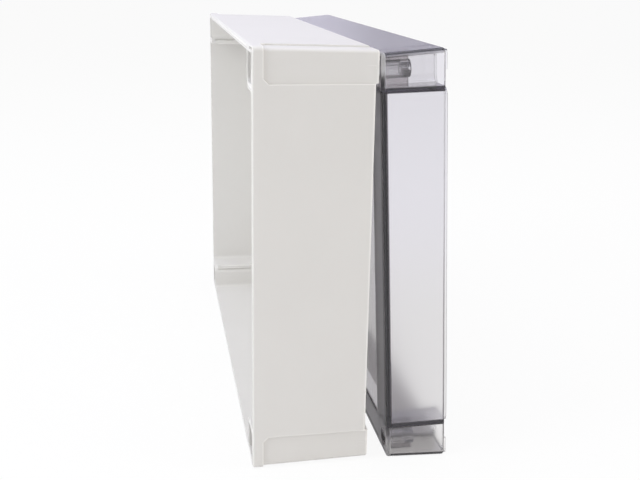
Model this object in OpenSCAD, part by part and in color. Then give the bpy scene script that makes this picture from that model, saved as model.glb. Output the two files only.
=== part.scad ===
// Moulded enclosure box with a see-through lid.
// The base stands on one long side wall. The lid is off and leans against the back of the base.
// Both mouldings are drawn as if closed, lying on the feet, and are then set up as they stand.

/* [Overall size] */
// Length of the box at the seam
box_length = 361; // [320:1:400]
// Width of the box at the seam
box_width = 254; // [220:1:290]
// Depth of the base from its feet to its rim
base_depth = 71.5; // [60:0.5:90]
// Depth of the lid from its rim to its outer face
lid_depth = 37; // [33:0.5:45]
// Radius of the outer corners
corner_radius = 3; // [2.5:0.25:5]

/* [Base walls] */
// Thickness of the base's side walls at the rim
base_wall = 4; // [3.5:0.1:5]
// Thickness of the back plate
back_plate = 3.5; // [2.5:0.1:5]
// Draft of the base's outer walls below the rim band, in degrees
base_draft = 1; // [0.5:0.1:1.3]
// Height of the plain band along the rim
rim_band = 6.5; // [5:0.1:9]
// Rounding of the rim's outer edge
rim_edge = 1.2; // [0.6:0.1:1.4]
// Rounding of the edge round the back
back_edge = 0.8; // [0.4:0.1:1.2]
// Rounding of the cavity's corners between its walls and the corner blocks
cavity_fillet = 3; // [1:0.5:6]
// Height of the corner feet on the back
foot_height = 1.8; // [1:0.1:3]

/* [Corner columns] */
// Length of the set-back corner columns of the base along both walls
column_zone = 20.5; // [17:0.5:23]
// How far the columns are set back from the walls
corner_recess = 1; // [0.6:0.1:1.3]
// Chamfer of the set-back panels where they meet the rim band
panel_chamfer = 3; // [2:0.25:5]

/* [Corner pockets] */
// Length of the corner blocks that part the pockets from the cavity
block_length = 27; // [26:0.5:32]
// Width of the corner blocks
block_width = 25; // [24:0.5:28]
// Rounding of the corner blocks in the cavity
block_radius = 8; // [6:0.5:10]
// Thickness of the fins that carry on the blocks' long faces past the rounding
block_fin = 3; // [2:0.1:3.5]
// How far the fins stop below the rim
fin_below = 2.6; // [2:0.1:5]

/* [Lid screws and wall screws] */
// Distance of the lid screws from the ends of the box
screw_end = 12; // [11.5:0.1:12.5]
// Distance of the lid screws from the sides of the box
screw_side = 11.5; // [11:0.1:12]
// Diameter of the screw bosses in the base's pockets
screw_boss = 8; // [7:0.1:8.5]
// Diameter of the pilot holes in the screw bosses
screw_pilot = 3.6; // [3:0.1:4.5]
// Depth of the pilot holes
pilot_depth = 25; // [15:1:35]
// How far the screw bosses stop below the rim
boss_below = 8; // [6:0.5:15]
// Thickness of the ribs that tie the screw bosses to the outer walls
boss_rib = 2; // [1.5:0.1:3]
// Distance of the wall-screw holes from the ends of the box
wall_hole_end = 19.5; // [19:0.1:19.8]
// Diameter of the wall-screw holes
wall_hole = 5.2; // [4:0.1:5.6]

/* [Plate bosses] */
// Distance between the mounting-plate bosses along the box
plate_spacing_l = 280; // [240:1:290]
// Distance between the mounting-plate bosses across the box
plate_spacing_w = 170; // [140:1:190]
// Diameter of the mounting-plate bosses
plate_boss = 9; // [8:0.1:11]
// Height of the mounting-plate bosses
plate_boss_height = 8; // [6:0.5:12]
// Diameter of the pilot holes in the mounting-plate bosses
plate_pilot = 3.6; // [3:0.1:4.5]

/* [Seal] */
// Width of the groove in the base's rim
groove_width = 1.8; // [1.4:0.1:2]
// Depth of the groove
groove_depth = 2.4; // [2:0.1:3]
// Height of the gasket in the groove
gasket_height = 2.2; // [1.6:0.1:2.3]
// Clearance of the gasket on each side
gasket_clearance = 0.1; // [0.05:0.05:0.2]
// Width of the lid's tongue that presses on the gasket
tongue_width = 1.4; // [1:0.1:1.6]
// Height of the lid's tongue
tongue_height = 1.2; // [0.8:0.1:1.5]

/* [Lid] */
// Thickness of the lid's side walls and partitions
lid_wall = 3; // [2.5:0.1:3.4]
// Thickness of the lid's outer plate
lid_plate = 3.5; // [3:0.1:4.5]
// Thickness of the walls and the plate at the lid's corners, round the screw wells
lid_corner_wall = 2; // [1.8:0.1:2.4]
// Draft of the lid's walls, which is also its lean, in degrees
lid_draft = 2.9; // [2:0.1:3.2]
// Rounding of the edge round the outer face
lid_edge = 1.2; // [0.8:0.1:2.4]
// Rounding of the outer edge of the lid's rim
lid_rim_edge = 2; // [1:0.1:2.2]
// Plain border of the outer face at the two ends
border_end = 27; // [25:0.5:35]
// Plain border of the outer face at the two sides
border_side = 20.5; // [19:0.5:30]
// Depth of the window field inside the border
window_depth = 0.8; // [0.4:0.1:1.2]
// Corner radius of the window field
window_radius = 4; // [2:0.5:8]
// Outside diameter of the screw wells
well_tube = 10.4; // [10:0.1:12]
// Bore of the screw wells
well_bore = 7.8; // [7:0.1:8.4]
// Diameter of the wells' rounded mouth
well_mouth = 12; // [11:0.1:12.5]
// Depth of the screw wells
well_depth = 13; // [11:0.5:16]
// Thickness of the wells' floor
well_floor = 5.4; // [4:0.1:7]
// Diameter of the screw holes in the wells' floor
screw_hole = 4.5; // [4:0.1:5]
// Length of the lips at the corners of the lid's rim
lip_length = 12; // [9:0.5:16]
// Height of the lips
lip_height = 0.8; // [0.5:0.1:0.9]
// Thickness of the lips
lip_width = 0.8; // [0.6:0.05:0.8]
// Distance of the lips from the lid's outer walls
lip_inset = 1.1; // [1:0.05:1.2]
// Clearance of the lips in the notches of the base's rim
lip_clearance = 0.2; // [0.1:0.05:0.3]

/* [Set-up] */
// Gap between the leaning lid and the back of the base
lean_gap = 0.3; // [0.1:0.1:0.8]

/* [Hidden] */
// Thickness of the thin layers that a block is spread between
layer = 0.02;
// Steps of a rounded edge
edge_steps = 5;
// Overshoot of cutting shapes
over = 2;
// Height at which the rim band starts
band_z = base_depth - rim_band;
// Height of the cavity's floor
floor_z = foot_height + back_plate;
// Distance of the seal's middle line from the cavity's wall
seal_line = base_wall / 2;
// Height of the tops of the screw bosses
boss_top = base_depth - boss_below;
// Where the rim of the leaning lid stands, measured from the base's rim
lid_reach = base_depth + lean_gap + lid_depth / cos(lid_draft) + (box_width - lid_edge) * tan(lid_draft);
// Width of the whole set-up, to the tip of the lid's tongue
set_up_width = lid_reach + tongue_height * cos(lid_draft) - (seal_line - tongue_width / 2) * sin(lid_draft);
// Place of the base's rim, so that the set-up is centred
rim_x = -set_up_width / 2;

// Plain rectangle with rounded corners
module rounded_rect(l, w, r) {
    square([l - 2 * r, w], center = true);
    square([l, w - 2 * r], center = true);
    for (x = [-1, 1], y = [-1, 1])
        translate([x * (l / 2 - r), y * (w / 2 - r)])
            circle(r, $fn = 32);
}

// Thin layer of a block, set in from the outline
module block_layer(narrow, radius) {
    linear_extrude(layer)
        rounded_rect(box_length - 2 * narrow, box_width - 2 * narrow, radius);
}

// Block that narrows upwards by the draft, with a rounded edge round its top and another round its foot
module drafted_block(inset, height, draft, edge, foot_edge = 0) {
    radius = corner_radius - inset;
    hull()
        for (i = [0 : edge_steps]) {
            turn = 90 * i / edge_steps;
            foot = foot_edge * (1 - sin(turn));
            up = height - edge * (1 - sin(turn));
            translate([0, 0, foot])
                block_layer(inset + foot * tan(draft) + foot_edge * (1 - cos(turn)), radius);
            translate([0, 0, up - layer])
                block_layer(inset + up * tan(draft) + edge * (1 - cos(turn)), radius);
        }
}

// The four corners of the box: inside a corner, x and y are negative
module at_corners() {
    for (x = [0, 1], y = [0, 1])
        mirror([x, 0, 0])
            mirror([0, y, 0])
                translate([box_length / 2, box_width / 2, 0])
                    children();
}

// Plan of a corner block with its inner corner rounded
module corner_plan(l, w, r) {
    translate([-l + r, -w])
        square([l - r + over, w + over]);
    translate([-l, -w + r])
        square([l + over, w - r + over]);
    translate([-l + r, -w + r])
        circle(r, $fn = 48);
}

// Plan of what rounds out an inner corner
module fillet_plan(x, y, r) {
    translate([x - r, y - r])
        difference() {
            square(r + over);
            circle(r, $fn = 48);
        }
}

// Plan of the cavity, spread outwards: a rectangle without its four corner blocks
module cavity_plan(spread) {
    wall = base_wall - spread;
    length = block_length - spread;
    width = block_width - spread;
    difference() {
        square([box_length - 2 * wall, box_width - 2 * wall], center = true);
        at_corners() {
            corner_plan(length, width, block_radius - spread);
            fillet_plan(-length, -wall, cavity_fillet + spread);
            fillet_plan(-wall, -width, cavity_fillet + spread);
        }
    }
}

// Plan of a ring along the seal, round the cavity and outside it
module seal_plan(width) {
    difference() {
        cavity_plan(seal_line + width / 2);
        cavity_plan(seal_line - width / 2);
    }
}

// Plan of a corner outside the partition
module pocket_corner_plan() {
    corner_plan(block_length - base_wall, block_width - base_wall, block_radius - base_wall);
}

// Block that narrows with the base's draft from the rim band to the back
module base_block(inset, back_z) {
    translate([0, 0, band_z])
        mirror([0, 0, 1])
            drafted_block(inset, band_z - back_z, base_draft, back_edge);
}

// What sets a corner column back from both walls, chamfered below the rim band
module column_cut() {
    panel = [
        [over, -over],
        [-column_zone, -over],
        [-column_zone, band_z - panel_chamfer],
        [-column_zone + panel_chamfer, band_z],
        [over, band_z]
    ];
    intersection() {
        rotate([90, 0, 0])
            linear_extrude(2 * box_width, center = true)
                polygon(panel);
        rotate([90, 0, 90])
            linear_extrude(2 * box_length, center = true)
                polygon(panel);
    }
}

// Outside of the base: rim band, walls, set-back corner columns and feet
module base_outside() {
    translate([0, 0, band_z])
        drafted_block(0, rim_band, 0, rim_edge);
    difference() {
        base_block(0, foot_height);
        at_corners()
            column_cut();
    }
    difference() {
        base_block(corner_recess, 0);
        translate([0, 0, -over])
            linear_extrude(foot_height + over)
                difference() {
                    square([box_length + over, box_width + over], center = true);
                    at_corners()
                        corner_plan(column_zone, column_zone, corner_radius);
                }
    }
}

// Hollow of a corner pocket, between the outer walls and the partition
module pocket() {
    linear_extrude(base_depth)
        intersection() {
            pocket_corner_plan();
            translate([-block_length, -block_width])
                square([block_length - base_wall, block_width - base_wall]);
        }
}

// Fin that carries on the long face of a corner block
module fin() {
    linear_extrude(base_depth - fin_below - floor_z)
        translate([-block_length, -block_width])
            square([block_radius, block_fin]);
}

// Screw boss in a corner pocket, tied to both outer walls by ribs
module screw_post() {
    post = boss_top - foot_height;
    translate([-screw_end, -screw_side, foot_height]) {
        cylinder(d = screw_boss, h = post, $fn = 48);
        translate([0, -boss_rib / 2, 0])
            cube([screw_end - base_wall / 2, boss_rib, post]);
        translate([-boss_rib / 2, 0, 0])
            cube([boss_rib, screw_side - base_wall / 2, post]);
    }
}

// The four places of the mounting-plate bosses
module at_plate_bosses() {
    for (x = [-1, 1], y = [-1, 1])
        translate([x * plate_spacing_l / 2, y * plate_spacing_w / 2, 0])
            children();
}

// Base moulding
module base_form() {
    difference() {
        union() {
            difference() {
                base_outside();
                translate([0, 0, floor_z]) {
                    linear_extrude(base_depth)
                        cavity_plan(0);
                    at_corners()
                        pocket();
                }
            }
            at_corners() {
                screw_post();
                translate([0, 0, floor_z])
                    fin();
            }
            at_plate_bosses()
                translate([0, 0, foot_height])
                    cylinder(d = plate_boss, h = back_plate + plate_boss_height, $fn = 48);
        }
        translate([0, 0, base_depth - groove_depth])
            linear_extrude(groove_depth + over)
                seal_plan(groove_width);
        translate([0, 0, base_depth - lip_height - lip_clearance])
            linear_extrude(lip_height + over)
                lip_plan(lip_clearance);
        at_corners() {
            translate([-screw_end, -screw_side, boss_top - pilot_depth])
                cylinder(d = screw_pilot, h = pilot_depth + over, $fn = 32);
            translate([-wall_hole_end, -screw_side, -over])
                cylinder(d = wall_hole, h = floor_z + 2 * over, $fn = 32);
        }
        at_plate_bosses()
            translate([0, 0, floor_z])
                cylinder(d = plate_pilot, h = plate_boss_height + over, $fn = 32);
    }
}

// Gasket in the groove of the base's rim
module gasket_form() {
    translate([0, 0, base_depth - groove_depth])
        linear_extrude(gasket_height)
            seal_plan(groove_width - 2 * gasket_clearance);
}

// Space inside the lid's drafted walls
module lid_space() {
    top = lid_depth - lid_plate;
    half_l = box_length / 2 - lid_wall;
    half_w = box_width / 2 - lid_wall;
    spread = over * tan(lid_draft);
    narrow = top * tan(lid_draft);
    intersection() {
        rotate([90, 0, 0])
            linear_extrude(2 * box_width, center = true)
                polygon([
                    [-half_l - spread, -over],
                    [half_l + spread, -over],
                    [half_l - narrow, top],
                    [-half_l + narrow, top]
                ]);
        rotate([90, 0, 90])
            linear_extrude(2 * box_length, center = true)
                polygon([
                    [-half_w - spread, -over],
                    [half_w + spread, -over],
                    [half_w - narrow, top],
                    [-half_w + narrow, top]
                ]);
    }
}

// Plan of the lid's corners, spread from the seal's middle line
module lid_corner_plan(spread) {
    line = seal_line - spread;
    corner_plan(block_length - line, block_width - line, block_radius - line);
}

// Hollow of the lid's corners round the screw wells
module lid_corner_space() {
    inset = lid_corner_wall - over * tan(lid_draft);
    translate([0, 0, -over])
        intersection() {
            drafted_block(inset, lid_depth - lid_corner_wall + over, lid_draft, lid_edge / 4);
            at_corners()
                linear_extrude(lid_depth + over)
                    lid_corner_plan(-lid_wall / 2);
        }
}

// Plan of the lips on the lid's rim at the corners, spread for the notches that take them
module lip_plan(spread) {
    outer = lip_inset - spread;
    inner = lip_inset + lip_width + spread;
    reach = lip_length + spread;
    intersection() {
        difference() {
            rounded_rect(box_length - 2 * outer, box_width - 2 * outer, corner_radius - outer);
            square([box_length - 2 * inner, box_width - 2 * inner], center = true);
        }
        at_corners()
            translate([-reach, -reach])
                square(reach + over);
    }
}

// Well that takes a lid screw, with a hole in its floor
module screw_well() {
    bottom = lid_depth - well_depth;
    mouth = (well_mouth - well_bore) / 2;
    translate([-screw_end, -screw_side, 0]) {
        translate([0, 0, bottom])
            cylinder(d = well_bore, h = well_depth + over, $fn = 48);
        translate([0, 0, lid_depth - mouth])
            cylinder(d1 = well_bore, d2 = well_mouth, h = mouth, $fn = 48);
        cylinder(d = screw_hole, h = lid_depth, $fn = 32);
    }
}

// Lid moulding, drawn from its rim up
module lid_form() {
    difference() {
        union() {
            difference() {
                drafted_block(0, lid_depth, lid_draft, lid_edge, lid_rim_edge);
                difference() {
                    lid_space();
                    at_corners()
                        translate([0, 0, -over])
                            linear_extrude(lid_depth + over)
                                difference() {
                                    lid_corner_plan(lid_wall / 2);
                                    lid_corner_plan(-lid_wall / 2);
                                }
                }
                lid_corner_space();
            }
            at_corners()
                translate([-screw_end, -screw_side, lid_depth - well_depth - well_floor])
                    cylinder(d = well_tube, h = well_depth + well_floor - lid_corner_wall / 2, $fn = 48);
            translate([0, 0, -tongue_height])
                linear_extrude(tongue_height + lid_wall / 4)
                    seal_plan(tongue_width);
            translate([0, 0, -lip_height])
                linear_extrude(lip_height + lid_wall / 4)
                    lip_plan(0);
        }
        at_corners()
            screw_well();
        translate([0, 0, lid_depth - window_depth])
            linear_extrude(window_depth + over)
                rounded_rect(box_length - 2 * border_end, box_width - 2 * border_side, window_radius);
    }
}

// From lying on its feet to standing on a long side, with the rim towards -X
module stand() {
    translate([0, 0, box_width / 2])
        rotate([90, 0, -90])
            children();
}

// Base, standing
module base() {
    color([0.85, 0.84, 0.82])
        translate([rim_x + base_depth, 0, 0])
            stand()
                base_form();
}

// Gasket, in the standing base
module gasket() {
    color([0.80, 0.79, 0.77])
        translate([rim_x + base_depth, 0, 0])
            stand()
                gasket_form();
}

// Lid, standing on its drafted wall so that it leans towards the base
module lid() {
    color([0.47, 0.46, 0.49, 0.5])
        translate([rim_x + lid_reach, 0, 0])
            rotate([0, -lid_draft, 0])
                stand()
                    lid_form();
}

base();
gasket();
lid();
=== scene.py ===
"""Looks of a moulded enclosure box.

The pale grey base stands on its side, and its smoky see-through lid leans behind it. Lengths are in
metres: +X runs from the base's rim to its back, +Y along the box and +Z up.
"""

import math

import bmesh
import bpy
from mathutils import Matrix, Vector


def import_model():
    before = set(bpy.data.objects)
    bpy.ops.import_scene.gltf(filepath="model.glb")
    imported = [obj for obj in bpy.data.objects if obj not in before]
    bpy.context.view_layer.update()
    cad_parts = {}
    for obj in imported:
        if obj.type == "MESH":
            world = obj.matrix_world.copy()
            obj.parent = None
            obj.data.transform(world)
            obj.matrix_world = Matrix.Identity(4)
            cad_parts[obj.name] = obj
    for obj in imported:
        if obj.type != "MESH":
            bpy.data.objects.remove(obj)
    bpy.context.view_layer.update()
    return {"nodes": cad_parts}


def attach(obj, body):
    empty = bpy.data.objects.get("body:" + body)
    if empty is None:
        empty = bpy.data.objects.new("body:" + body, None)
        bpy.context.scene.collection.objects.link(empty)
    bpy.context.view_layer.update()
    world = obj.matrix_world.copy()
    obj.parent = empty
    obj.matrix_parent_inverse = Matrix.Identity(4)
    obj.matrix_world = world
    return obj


X, Y, Z, FRONT = (1, 0, 0), (0, 1, 0), (0, 0, 1), (0, -1, 0)
WHITE = (1, 1, 1)

# both mouldings at the seam, and half of the floor that they stand on
BOX_LENGTH = 0.361
BOX_WIDTH = 0.254
FOOTPRINT = (0.0614, 0.1795)

# textures: features per metre and detail of a noise, then strength and height of a bump
NOISE_ROUGH = 0.55
NOISE_SPAN = (0.3, 0.7)
CLOUDS = (22, 4)
GRAIN = (2600, 2)
WAVES = (60, 2)
FINE = (1500, 2)
FOAM = (300, 3)
FOAM_CELLS = 2200
GRAIN_BUMP = (0.10, 0.0002)
WAVE_BUMP = (0.05, 0.0005)
CELL_BUMP = (0.5, 0.0002)
EDGE_SAMPLES = 8

# the base: where its back is, the height and length of the feet on it, and its plastic
BASE_BACK = 0.010107
FOOT_HEIGHT = 0.0018
FOOT_LENGTH = 0.0205
BASE_GREYS = ((0.748, 0.737, 0.718), (0.760, 0.749, 0.730))
BASE_ROUGH = (0.40, 0.54)
BASE_ROUNDING = 0.0005
BASE_IOR = 1.53
# its painted edge highlights: colour, reach, the edge mask from an edge to a flat face, where the plain rim
# ends, and the painted highlight strip along the back's edge at both ends
EDGE_HIGHLIGHT = (0.92, 0.91, 0.89)
EDGE_REACH = 0.0011
EDGE_SPAN = (0.6, 0.95)
RIM_SPAN = (0.004, 0.006)
BACK_SPAN = (0.0013, 0.0006)
END_SPAN = (0.004, 0.003)

# the lid leans on the base by its draft angle, on the line x = LID_FOOT of the floor. In its own frame,
# depth runs from its rim to its outer face, and across from its middle to its upper side
LID_LEAN = math.radians(2.9)
LID_FOOT = 0.0602605
LID_DEPTH = 0.037
LID_PLATE = 0.0035
LID_SKIN = 0.0016
LID_EDGE = 0.0014
WINDOW_DEPTH = 0.0008
PLATE_EDGE = 0.0045
CORNER_LENGTH = 0.025
CORNER_WIDTH = 0.023
CORNER_ROUND = 0.003
CORNER_PLATE = 0.0024
# its screw wells, the parts of them with painted shade, and the upper side of the upper partitions
WELL_AT = (0.1685, 0.1155)
WELL_RADIUS = 0.0068
WELL_CREST = 0.0042
WELL_MOUTH = 0.0225
WELL_LOWER = -0.0005
SHELF = (0.1053, 0.1058)
# how strong the painted shade is on these, and how polished and milky the lower corners are beside the
# upper ones
WELL_TONE, CREST_TONE, MOUTH_TONE, SHELF_TONE = 0.18, 0.8, 0.8, 0.6
LOWER_POLISH, LOWER_MILK = 0.3, 0.6
MILK_SPAN = (-0.017, -0.011)
MILK_TONE = 0.36
# its plastic, with what the zones add to the roughness
SMOKE = (0.36, 0.34, 0.39)
SMOKE_DENSITY = 100
LID_IOR = 1.58
LID_ROUGH = (0.02, 0.05)
ZONE_ROUGH = {"walls": 0.12, "ends": 0.16, "corners": -0.23, "border": 0.42, "tips": 0.4}
# the colour of the painted shade in the lid's darker zones
PAINTED_SHADE_TONE = (0.24, 0.22, 0.235)

# ribs that hold the wells: their reach in depth and across the lid, thickness, rounding and the room left
# round them
RIB_DEPTH = (0.0192, 0.035)
RIB_INNER = (0.1055, 0.1103)
RIB_OUTER = (0.1207, 0.125)
RIB_THICK = 0.0024
RIB_ROUND = 0.0006
RIB_ROOM = 0.00003
# painted shade on the ribs: the greys of their base colour, darker than the lid's plastic
RIB_SHADE_GREYS = ((0.52, 0.49, 0.50), (0.58, 0.55, 0.56))

SEAL_GREYS = ((0.82, 0.81, 0.80), (0.88, 0.87, 0.86))
SEAL_ROUGH = 0.9

# the floor: its corners, how far it lies under the part, its grey and how much of it looks plain white
FLOOR_CORNERS = [(-6, -4, 0), (6, -4, 0), (6, 12, 0), (-6, 12, 0)]
FLOOR_DROP = 0.0002
FLOOR_GREY = (0.88, 0.88, 0.88)
FLOOR_GLOW = 0.92
# its colours where clear plastic shows or mirrors it, with a painted shadow under the object, and how they
# change along the floor
FLOOR_PAINTED_SHADOW = (0.07, 0.04, 0.02)
FLOOR_SHADOW_MIRRORED = (0.86, 0.85, 0.86)
FLOOR_NEAR = (0.95, 0.94, 0.93)
FLOOR_FAR = (0.96, 0.95, 1)
FAR_SPAN = (0.05, 0.4)
# the painted shadow's reach: distances past the object's sides and ends, and how light the floor is there
UNDER_SIDES = ((-0.007, 0.004), (0.33, 1))
UNDER_ENDS = ((-0.05, 0), (0.25, 0.56))
PAST_ENDS = ((0, 0.006), (0, 0.44))

# the world: plain light, warmer from the front, then the room that gloss shows and the sweep that is seen
# through clear plastic. The spans are parts of a direction: to the right, up or to the front
WORLD_LEVEL = 0.5
WORLD_FRONT = (1, 0.968, 0.938)
FRONT_SPAN = (0, 0.4)
ROOM_LEFT = (0.87, 0.84, 1)
ROOM_RIGHT = (0.53, 0.51, 0.61)
ROOM_HIGH = (0.80, 0.78, 0.92)
ROOM_FRONT = (0.25, 0.25, 0.27)
ROOM_RIGHT_SPAN = (0.15, 0.215)
ROOM_HIGH_SPAN = (0.08, 0.5)
SWEEP_LOW = (0.50, 0.49, 0.52)
SWEEP_DARK = (0.07, 0.07, 0.08)
SWEEP_TOP = (0.92, 0.90, 1)
SWEEP_DARK_SPAN = (0, 0.25)
SWEEP_TOP_SPAN = (0.7, 0.9)
SWEEP_RIGHT_SPAN = (0.32, 0.5)

# name, place, target, size, power and colour
LAMPS = (
    ("top_soft", (-0.2, 0.0, 1.7), (0, 0, 0.1), (1.8, 1.8), 14.5, (0.84, 0.85, 1)),
    ("left_soft", (-1.7, -0.5, 0.9), (0, 0, 0.12), (1.0, 1.2), 18, (0.975, 1, 0.975)),
    ("right_soft", (1.7, -0.6, 0.7), (0, 0, 0.12), (1.0, 1.2), 11.5, (1, 0.95, 0.84)),
    ("front_fill", (0.6, -2.2, 1.0), (0, 0, 0.12), (1.2, 1.0), 1.4, (1, 0.94, 0.80)),
)

CAMERA_AT = (-0.11513, -0.69886, 0.29586)
CAMERA_YAW = math.radians(10.1576)
CAMERA_PITCH = math.radians(16.0458)
CAMERA_ROLL = math.radians(0.99514)
CAMERA_SENSOR = 36
CAMERA_LENS = 53.5425

# light goes through many walls of the clear lid
CLEAR_BOUNCES = 32
GLOSSY_BOUNCES = 16


def new_material(name):
    """An empty node material, its tree and its output node."""
    mat = bpy.data.materials.new(name)
    mat.use_nodes = True
    tree = mat.node_tree
    tree.nodes.clear()
    return mat, tree, tree.nodes.new("ShaderNodeOutputMaterial")


def noise(tree, vector, scale, detail):
    """A noise texture in object space."""
    node = tree.nodes.new("ShaderNodeTexNoise")
    node.inputs["Scale"].default_value = scale
    node.inputs["Detail"].default_value = detail
    node.inputs["Roughness"].default_value = NOISE_ROUGH
    tree.links.new(vector, node.inputs["Vector"])
    return node.outputs["Fac"]


def spread(tree, value, span=NOISE_SPAN, to=(0, 1)):
    """A value mapped from one span to another."""
    node = tree.nodes.new("ShaderNodeMapRange")
    for socket, number in zip(("From Min", "From Max", "To Min", "To Max"), (*span, *to)):
        node.inputs[socket].default_value = number
    tree.links.new(value, node.inputs["Value"])
    return node.outputs["Result"]


def calc(tree, kind, *values):
    """One operation on one or two values, carried on over further ones. Each is a socket or a number."""
    result = values[0]
    for second in values[1:] or (0,):
        node = tree.nodes.new("ShaderNodeMath")
        node.operation = kind
        for socket, value in zip(node.inputs, (result, second)):
            if isinstance(value, (int, float)):
                socket.default_value = value
            else:
                tree.links.new(value, socket)
        result = node.outputs[0]
    return result


def set_color(tree, socket, color):
    """Gives a colour socket three numbers or another socket's colour."""
    if isinstance(color, tuple):
        socket.default_value = (*color, 1)
    else:
        tree.links.new(color, socket)


def tint(tree, factor, first, second):
    """A colour between two colours, of which each is a socket or three numbers."""
    node = tree.nodes.new("ShaderNodeMix")
    node.data_type = "RGBA"
    set_color(tree, node.inputs["A"], first)
    set_color(tree, node.inputs["B"], second)
    tree.links.new(factor, node.inputs["Factor"])
    return node.outputs["Result"]


def bump(tree, height, strength, distance, under=None):
    """A bump normal, laid over another one if given."""
    node = tree.nodes.new("ShaderNodeBump")
    node.inputs["Strength"].default_value = strength
    node.inputs["Distance"].default_value = distance
    tree.links.new(height, node.inputs["Height"])
    if under is not None:
        tree.links.new(under, node.inputs["Normal"])
    return node.outputs["Normal"]


def soft_edges(tree, radius):
    """Normals of a surface whose sharp edges are broken by a small radius, as a mould leaves them."""
    node = tree.nodes.new("ShaderNodeBevel")
    node.samples = EDGE_SAMPLES
    node.inputs["Radius"].default_value = radius
    return node.outputs["Normal"]


def edge_highlight_mask(tree, reach):
    """A mask of the strips along a solid's outer edges, where a painted highlight makes the plastic
    lighter.
    """
    node = tree.nodes.new("ShaderNodeAmbientOcclusion")
    node.inside = True
    node.only_local = True
    node.samples = EDGE_SAMPLES
    node.inputs["Distance"].default_value = reach
    return spread(tree, node.outputs["AO"], EDGE_SPAN, (1, 0))


def object_vector(tree):
    """The place on the object, which for a CAD node and a piece is its place in the frame."""
    return tree.nodes.new("ShaderNodeTexCoord").outputs["Object"]


def along(tree, vector, direction):
    """How far a point lies along a direction from the origin."""
    node = tree.nodes.new("ShaderNodeVectorMath")
    node.operation = "DOT_PRODUCT"
    node.inputs[1].default_value = direction
    tree.links.new(vector, node.inputs[0])
    return node.outputs["Value"]


def base_edge_highlights(tree, at):
    """A mask of the base's painted edge highlights: the outer ones behind the rim, and the back's at both
    ends.
    """
    behind = along(tree, at, X)
    outside = spread(tree, behind, [v - FOOTPRINT[0] for v in RIM_SPAN])
    edges = calc(tree, "MULTIPLY", edge_highlight_mask(tree, EDGE_REACH), outside)
    off_middle = calc(tree, "ABSOLUTE", calc(tree, "SUBTRACT", along(tree, at, Z), BOX_WIDTH / 2))
    between_feet = calc(tree, "LESS_THAN", off_middle, BOX_WIDTH / 2 - FOOT_LENGTH)
    behind = calc(tree, "ADD", behind, calc(tree, "MULTIPLY", between_feet, FOOT_HEIGHT))
    back = spread(tree, behind, [BASE_BACK - v for v in BACK_SPAN])
    off_center = calc(tree, "ABSOLUTE", along(tree, at, Y))
    ends = spread(tree, off_center, [BOX_LENGTH / 2 - v for v in END_SPAN])
    return calc(tree, "MAXIMUM", edges, calc(tree, "MULTIPLY", back, ends))


def base_plastic():
    """Pale warm grey plastic with a fine spark-eroded grain and painted highlights along its edges."""
    mat, tree, out = new_material("base_plastic")
    at = object_vector(tree)
    clouds = noise(tree, at, *CLOUDS)
    grain = noise(tree, at, *GRAIN)
    bsdf = tree.nodes.new("ShaderNodeBsdfPrincipled")
    link = tree.links.new
    plain = tint(tree, spread(tree, clouds), *BASE_GREYS)
    # painted highlight: the base colour is lighter along the edges
    link(tint(tree, base_edge_highlights(tree, at), plain, EDGE_HIGHLIGHT), bsdf.inputs["Base Color"])
    link(spread(tree, grain, to=BASE_ROUGH), bsdf.inputs["Roughness"])
    link(bump(tree, grain, *GRAIN_BUMP, soft_edges(tree, BASE_ROUNDING)), bsdf.inputs["Normal"])
    bsdf.inputs["IOR"].default_value = BASE_IOR
    link(bsdf.outputs["BSDF"], out.inputs["Surface"])
    return mat


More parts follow.
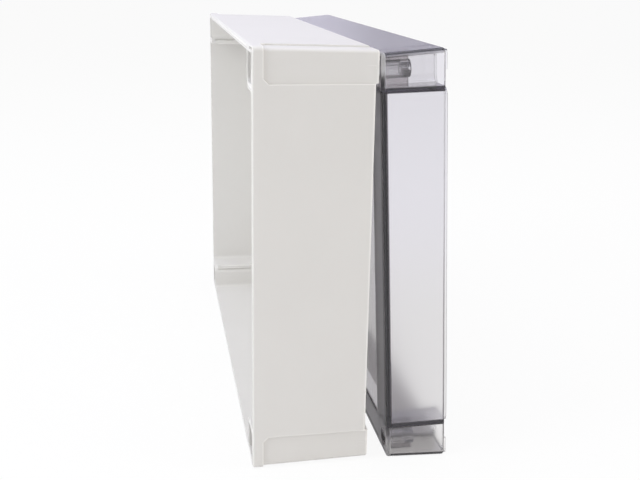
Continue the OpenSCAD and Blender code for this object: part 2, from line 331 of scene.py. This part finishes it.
def lid_zones(tree, at):
    """Masks of the lid's zones, from its own planes.

    walls: the satin outer walls, and ends: those at both ends
    corners: the polished parts of the ends
    border: the matt border round the window
    tips: the outer edges of the plate at its corners, and milky: the milky part of them
    painted_shade: painted shade where the lid looks darker because of refraction and the thickness of the
    plastic, which is the plate's edge elsewhere, the wells and the upper partitions"""
    lean, rise = math.sin(LID_LEAN), math.cos(LID_LEAN)
    depth = calc(tree, "ADD", along(tree, at, (-rise, 0, -lean)), rise * LID_FOOT)
    across = calc(tree, "ADD", along(tree, at, (-lean, 0, rise)), lean * LID_FOOT - BOX_WIDTH / 2)
    upper = calc(tree, "GREATER_THAN", across, 0)

    # distances past the planes of the ends and sides at the seam, and how far the draft brings them in
    end = calc(tree, "SUBTRACT", calc(tree, "ABSOLUTE", along(tree, at, Y)), BOX_LENGTH / 2)
    side = calc(tree, "SUBTRACT", calc(tree, "ABSOLUTE", across), BOX_WIDTH / 2)
    draft = calc(tree, "MULTIPLY", depth, math.tan(LID_LEAN))
    outward = calc(tree, "ADD", calc(tree, "MAXIMUM", end, side), draft)

    skin = calc(tree, "GREATER_THAN", outward, -LID_SKIN)
    hollow = calc(tree, "LESS_THAN", depth, LID_DEPTH - LID_PLATE)
    end_face = calc(tree, "GREATER_THAN", calc(tree, "ADD", end, draft), -LID_SKIN)
    near_end = calc(tree, "GREATER_THAN", end, -CORNER_LENGTH)
    corner = calc(tree, "MULTIPLY", near_end, calc(tree, "GREATER_THAN", side, -CORNER_WIDTH))
    walls = calc(tree, "MULTIPLY", skin, hollow)
    ends = calc(tree, "MULTIPLY", walls, end_face)

    off_round = calc(tree, "LESS_THAN", calc(tree, "ADD", side, draft), -CORNER_ROUND)
    polish = spread(tree, upper, (0, 1), (LOWER_POLISH, 1))
    corners = calc(tree, "MULTIPLY", ends, corner, polish, off_round)

    face = calc(tree, "GREATER_THAN", depth, LID_DEPTH - WINDOW_DEPTH / 2)
    flat = calc(tree, "LESS_THAN", outward, -LID_EDGE)
    matt = calc(tree, "SUBTRACT", 1, calc(tree, "MULTIPLY", corner, upper))
    border = calc(tree, "MULTIPLY", face, flat, matt)

    thin = calc(tree, "GREATER_THAN", depth, LID_DEPTH - CORNER_PLATE)
    tips = calc(tree, "MULTIPLY", skin, corner, thin)
    milk = spread(tree, upper, (0, 1), (LOWER_MILK, 1))
    milky = calc(tree, "MULTIPLY", tips, spread(tree, side, MILK_SPAN), milk)

    # painted shade along the plate's edge, where light passes through much plastic
    rim = calc(tree, "GREATER_THAN", outward, -PLATE_EDGE)
    plate = calc(tree, "MULTIPLY", rim, calc(tree, "SUBTRACT", 1, calc(tree, "MAXIMUM", hollow, corner)))

    # painted shade in the screw wells, stronger at the crest and mouth of the upper ones
    off_end = calc(tree, "ADD", end, BOX_LENGTH / 2 - WELL_AT[0])
    off_side = calc(tree, "ADD", side, BOX_WIDTH / 2 - WELL_AT[1])
    squares = (calc(tree, "MULTIPLY", v, v) for v in (off_end, off_side))
    radius = calc(tree, "SQRT", calc(tree, "ADD", *squares))
    well = calc(tree, "LESS_THAN", radius, WELL_RADIUS)
    crest = calc(tree, "MULTIPLY", calc(tree, "GREATER_THAN", off_side, WELL_CREST), CREST_TONE)
    lower = calc(tree, "LESS_THAN", off_side, WELL_LOWER)
    mouth = calc(tree, "MULTIPLY", calc(tree, "LESS_THAN", depth, WELL_MOUTH), lower, MOUTH_TONE)
    upper_well_shade = calc(tree, "MULTIPLY", calc(tree, "ADD", crest, mouth), upper)
    wells = calc(tree, "MULTIPLY", well, calc(tree, "ADD", upper_well_shade, WELL_TONE))

    # painted shade on the upper side of the upper partitions
    over_shelf = calc(tree, "GREATER_THAN", across, SHELF[0])
    under_shelf = calc(tree, "LESS_THAN", across, SHELF[1])
    shelf = calc(tree, "MULTIPLY", over_shelf, under_shelf, near_end, SHELF_TONE)
    return {
        "walls": walls,
        "ends": ends,
        "corners": corners,
        "border": border,
        "tips": tips,
        "milky": milky,
        "painted_shade": calc(tree, "MAXIMUM", plate, wells, shelf),
    }


def clear_plastic(name):
    """Smoky clear plastic with the faint waviness of a moulding, darker the further one looks through it.

    Its roughness and colour are left to the caller."""
    mat, tree, out = new_material(name)
    at = object_vector(tree)
    bsdf = tree.nodes.new("ShaderNodeBsdfPrincipled")
    link = tree.links.new
    bsdf.inputs["Transmission Weight"].default_value = 1
    bsdf.inputs["IOR"].default_value = LID_IOR
    link(bump(tree, noise(tree, at, *WAVES), *WAVE_BUMP), bsdf.inputs["Normal"])
    smoke = tree.nodes.new("ShaderNodeVolumeAbsorption")
    set_color(tree, smoke.inputs["Color"], SMOKE)
    smoke.inputs["Density"].default_value = SMOKE_DENSITY
    link(bsdf.outputs["BSDF"], out.inputs["Surface"])
    link(smoke.outputs["Volume"], out.inputs["Volume"])
    return mat, tree, at, bsdf


def rib_plastic():
    """The lid's plastic on its ribs, with a grey base colour as painted shade, so they look darker."""
    mat, tree, at, bsdf = clear_plastic("rib_plastic")
    fine = noise(tree, at, *FINE)
    tree.links.new(spread(tree, fine, to=LID_ROUGH), bsdf.inputs["Roughness"])
    # painted shade: a grey base colour darkens the ribs
    tree.links.new(tint(tree, spread(tree, fine), *RIB_SHADE_GREYS), bsdf.inputs["Base Color"])
    return mat


def lid_plastic():
    """The lid's plastic: polished, with satin walls, a matt border, milky corner tips and painted shade in
    its darker zones.
    """
    mat, tree, at, bsdf = clear_plastic("lid_plastic")
    link = tree.links.new
    zones = lid_zones(tree, at)
    rough = spread(tree, noise(tree, at, *FINE), to=LID_ROUGH)
    for zone, more in ZONE_ROUGH.items():
        rough = calc(tree, "ADD", rough, calc(tree, "MULTIPLY", zones[zone], more))
    link(rough, bsdf.inputs["Roughness"])
    clear = calc(tree, "SUBTRACT", 1, calc(tree, "MULTIPLY", zones["milky"], MILK_TONE))
    link(clear, bsdf.inputs["Transmission Weight"])
    # painted shade: the base colour darkens the plate's edge, the wells and the upper partitions
    link(tint(tree, zones["painted_shade"], WHITE, PAINTED_SHADE_TONE), bsdf.inputs["Base Color"])
    return mat


def in_lid(depth, along_lid, across):
    """A point of the lid's own frame, in the frame of the part."""
    lean, rise = math.sin(LID_LEAN), math.cos(LID_LEAN)
    up = across + BOX_WIDTH / 2
    return (LID_FOOT - rise * depth - lean * up, along_lid, rise * up - lean * depth)


def add_rib(shape, end, side, low, high, slope):
    """One plate in a corner of the lid, from low to high across it, with a rounded free edge."""
    near, far = RIB_DEPTH[0], RIB_DEPTH[1] - RIB_ROOM
    outline = [(near, low), (far, low), (far, high - far * slope), (near, high - near * slope)]
    middle = sum(across for _, across in outline) / 4
    rows = []
    for face in (-0.5, 0.5):
        row = []
        for depth, across in outline:
            across += math.copysign(RIB_ROOM, middle - across)
            point = in_lid(depth, end * WELL_AT[0] + face * RIB_THICK, side * across)
            row.append(shape.verts.new(point))
        rows.append(row)
    front, back = rows
    shape.faces.new(front)
    shape.faces.new(back[::-1])
    for i in range(4):
        j = (i + 1) % 4
        shape.faces.new((front[j], front[i], back[i], back[j]))
    free = [shape.edges.get((row[0], row[3])) for row in rows]
    bmesh.ops.bevel(
        shape, geom=free, offset=RIB_ROUND, offset_type="OFFSET", segments=3, profile=0.5, affect="EDGES"
    )


def well_ribs():
    """Plates across the lid's corners, one on each side of a screw well."""
    shape = bmesh.new()
    for end in (-1, 1):
        for side in (-1, 1):
            add_rib(shape, end, side, *RIB_INNER, 0)
            add_rib(shape, end, side, *RIB_OUTER, math.tan(LID_LEAN))
    bmesh.ops.recalc_face_normals(shape, faces=shape.faces)
    mesh = bpy.data.meshes.new("well_ribs")
    shape.to_mesh(mesh)
    shape.free()
    mesh.materials.append(rib_plastic())
    piece = bpy.data.objects.new("well_ribs", mesh)
    bpy.context.scene.collection.objects.link(piece)
    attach(piece, "root")


def seal_foam():
    """Foamed seal: light grey, matt, with small cells."""
    mat, tree, out = new_material("seal_foam")
    at = object_vector(tree)
    cells = tree.nodes.new("ShaderNodeTexVoronoi")
    cells.inputs["Scale"].default_value = FOAM_CELLS
    link = tree.links.new
    link(at, cells.inputs["Vector"])
    bsdf = tree.nodes.new("ShaderNodeBsdfPrincipled")
    link(tint(tree, spread(tree, noise(tree, at, *FOAM)), *SEAL_GREYS), bsdf.inputs["Base Color"])
    link(bump(tree, cells.outputs["Distance"], *CELL_BUMP), bsdf.inputs["Normal"])
    bsdf.inputs["Roughness"].default_value = SEAL_ROUGH
    link(bsdf.outputs["BSDF"], out.inputs["Surface"])
    return mat


def painted_floor_shadow(tree, at):
    """Painted shadow on the floor: white all round, dark under the object, and less so near its ends."""
    apart = []
    for direction, half in zip((X, Y), FOOTPRINT):
        off_center = calc(tree, "ABSOLUTE", along(tree, at, direction))
        apart.append(calc(tree, "SUBTRACT", off_center, half))
    sides = spread(tree, apart[0], *UNDER_SIDES)
    ends = calc(tree, "ADD", spread(tree, apart[1], *UNDER_ENDS), spread(tree, apart[1], *PAST_ENDS))
    return calc(tree, "MAXIMUM", sides, ends)


def white_floor():
    """Floor that looks white with a faint shadow, and a painted shadow under the object that clear plastic
    shows and mirrors.
    """
    mat, tree, out = new_material("floor_white")
    mat.cycles.emission_sampling = "NONE"
    link = tree.links.new
    path = tree.nodes.new("ShaderNodeLightPath").outputs
    at = object_vector(tree)
    # painted shadow under the object, which clear plastic shows and mirrors
    shade = painted_floor_shadow(tree, at)
    open_floor = tint(tree, spread(tree, along(tree, at, Y), FAR_SPAN), FLOOR_NEAR, FLOOR_FAR)
    seen_through = tint(tree, shade, FLOOR_PAINTED_SHADOW, open_floor)
    mirrored = tint(tree, shade, FLOOR_SHADOW_MIRRORED, FLOOR_FAR)
    shown = tint(tree, path["Is Transmission Ray"], mirrored, seen_through)
    glow = tree.nodes.new("ShaderNodeEmission")
    link(tint(tree, path["Is Camera Ray"], shown, WHITE), glow.inputs["Color"])
    matt = tree.nodes.new("ShaderNodeBsdfDiffuse")
    set_color(tree, matt.inputs["Color"], FLOOR_GREY)
    kinds = (path[f"Is {kind} Ray"] for kind in ("Camera", "Glossy", "Transmission"))
    seen = calc(tree, "MAXIMUM", *kinds)
    mix = tree.nodes.new("ShaderNodeMixShader")
    link(calc(tree, "MULTIPLY", seen, FLOOR_GLOW), mix.inputs["Fac"])
    link(matt.outputs["BSDF"], mix.inputs[1])
    link(glow.outputs["Emission"], mix.inputs[2])
    link(mix.outputs["Shader"], out.inputs["Surface"])
    return mat


def stage():
    """White floor."""
    mesh = bpy.data.meshes.new("floor")
    mesh.from_pydata(FLOOR_CORNERS, [], [(0, 1, 2, 3)])
    mesh.materials.append(white_floor())
    floor = bpy.data.objects.new("floor", mesh)
    floor.location.z = -FLOOR_DROP
    bpy.context.scene.collection.objects.link(floor)


def background(tree, color, strength=1):
    """The output of a background shader."""
    node = tree.nodes.new("ShaderNodeBackground")
    set_color(tree, node.inputs["Color"], color)
    node.inputs["Strength"].default_value = strength
    return node.outputs["Background"]


def world():
    """Plain light all round, white to look at, and dimmer where gloss and clear plastic show it."""
    made = bpy.data.worlds.new("studio")
    made.use_nodes = True
    tree = made.node_tree
    tree.nodes.clear()
    link = tree.links.new
    path = tree.nodes.new("ShaderNodeLightPath").outputs
    toward = tree.nodes.new("ShaderNodeTexCoord").outputs["Generated"]
    right, up, front = (along(tree, toward, direction) for direction in (X, Z, FRONT))
    in_front = spread(tree, front, FRONT_SPAN)
    plain = tint(tree, in_front, WHITE, WORLD_FRONT)
    room = tint(tree, spread(tree, right, ROOM_RIGHT_SPAN), ROOM_LEFT, ROOM_RIGHT)
    room = tint(tree, spread(tree, up, ROOM_HIGH_SPAN), room, ROOM_HIGH)
    room = tint(tree, in_front, room, ROOM_FRONT)
    sweep = tint(tree, spread(tree, up, SWEEP_DARK_SPAN), SWEEP_LOW, SWEEP_DARK)
    sweep = tint(tree, spread(tree, up, SWEEP_TOP_SPAN), sweep, SWEEP_TOP)
    sweep = tint(tree, spread(tree, right, SWEEP_RIGHT_SPAN), sweep, WHITE)
    look = background(tree, plain, WORLD_LEVEL)
    for kind, color in (("Glossy", room), ("Transmission", sweep), ("Camera", WHITE)):
        mix = tree.nodes.new("ShaderNodeMixShader")
        link(path[f"Is {kind} Ray"], mix.inputs["Fac"])
        link(look, mix.inputs[1])
        link(background(tree, color), mix.inputs[2])
        look = mix.outputs["Shader"]
    link(look, tree.nodes.new("ShaderNodeOutputWorld").inputs["Surface"])
    bpy.context.scene.world = made


def lamp(name, at, target, size, power, color):
    """A soft lamp that is not seen through clear plastic."""
    data = bpy.data.lights.new(name, "AREA")
    data.color = color
    data.shape = "RECTANGLE"
    data.size, data.size_y = size
    data.energy = power
    obj = bpy.data.objects.new(name, data)
    obj.location = at
    obj.rotation_euler = (Vector(target) - Vector(at)).to_track_quat("-Z", "Y").to_euler()
    obj.visible_transmission = False
    bpy.context.scene.collection.objects.link(obj)


def camera():
    """Camera as in the photograph: long lens, looking down from the left of the mouth."""
    level = math.cos(CAMERA_PITCH)
    ahead, aside = math.cos(CAMERA_YAW), math.sin(CAMERA_YAW)
    look = Vector((aside * level, ahead * level, -math.sin(CAMERA_PITCH)))
    side = Vector((ahead, -aside, 0))
    up = side.cross(look)
    right = side * math.cos(CAMERA_ROLL) + up * math.sin(CAMERA_ROLL)
    top = up * math.cos(CAMERA_ROLL) - side * math.sin(CAMERA_ROLL)
    data = bpy.data.cameras.new("camera")
    data.sensor_width = CAMERA_SENSOR
    data.lens = CAMERA_LENS
    obj = bpy.data.objects.new("camera", data)
    turn = Matrix((right, top, -look)).transposed().to_4x4()
    obj.matrix_world = Matrix.Translation(CAMERA_AT) @ turn
    bpy.context.scene.collection.objects.link(obj)
    bpy.context.scene.camera = obj


def dress(node, material):
    """Gives a CAD node its material."""
    node.data.materials.clear()
    node.data.materials.append(material)


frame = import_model()
scene = bpy.context.scene
scene.view_settings.view_transform = "Standard"
scene.cycles.max_bounces = CLEAR_BOUNCES
scene.cycles.transmission_bounces = CLEAR_BOUNCES
scene.cycles.glossy_bounces = GLOSSY_BOUNCES

camera()
world()
stage()
for settings in LAMPS:
    lamp(*settings)

dress(frame["nodes"]["base"], base_plastic())
dress(frame["nodes"]["lid"], lid_plastic())
dress(frame["nodes"]["gasket"], seal_foam())
well_ribs()
